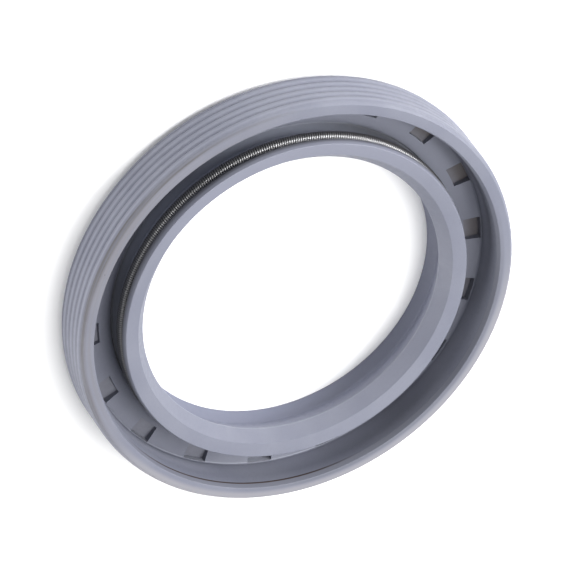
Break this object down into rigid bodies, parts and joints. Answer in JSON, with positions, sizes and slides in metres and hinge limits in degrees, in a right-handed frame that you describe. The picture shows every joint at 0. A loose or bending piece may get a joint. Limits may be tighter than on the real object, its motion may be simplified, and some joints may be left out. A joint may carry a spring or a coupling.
{
  "type": "radial shaft seal",
  "caption": "Rubber-covered radial shaft seal with a ribbed outside, a steel case, a spring-loaded sealing lip and a dust lip.",
  "frame": {"origin": "centre of the back face, on the shaft's axis", "axes": "+Z along the shaft's axis towards the sprung side; X and Y are square to it and equal in use"},
  "size_m": [0.065, 0.065, 0.008],
  "materials": {
    "rubber": "satin",
    "case_steel": "satin",
    "spring_steel": "polished"
  },
  "bodies": {
    "root": {"seal_body": "rubber", "case_ring": "case_steel", "garter_spring": "spring_steel"}
  },
  "joints": []
}
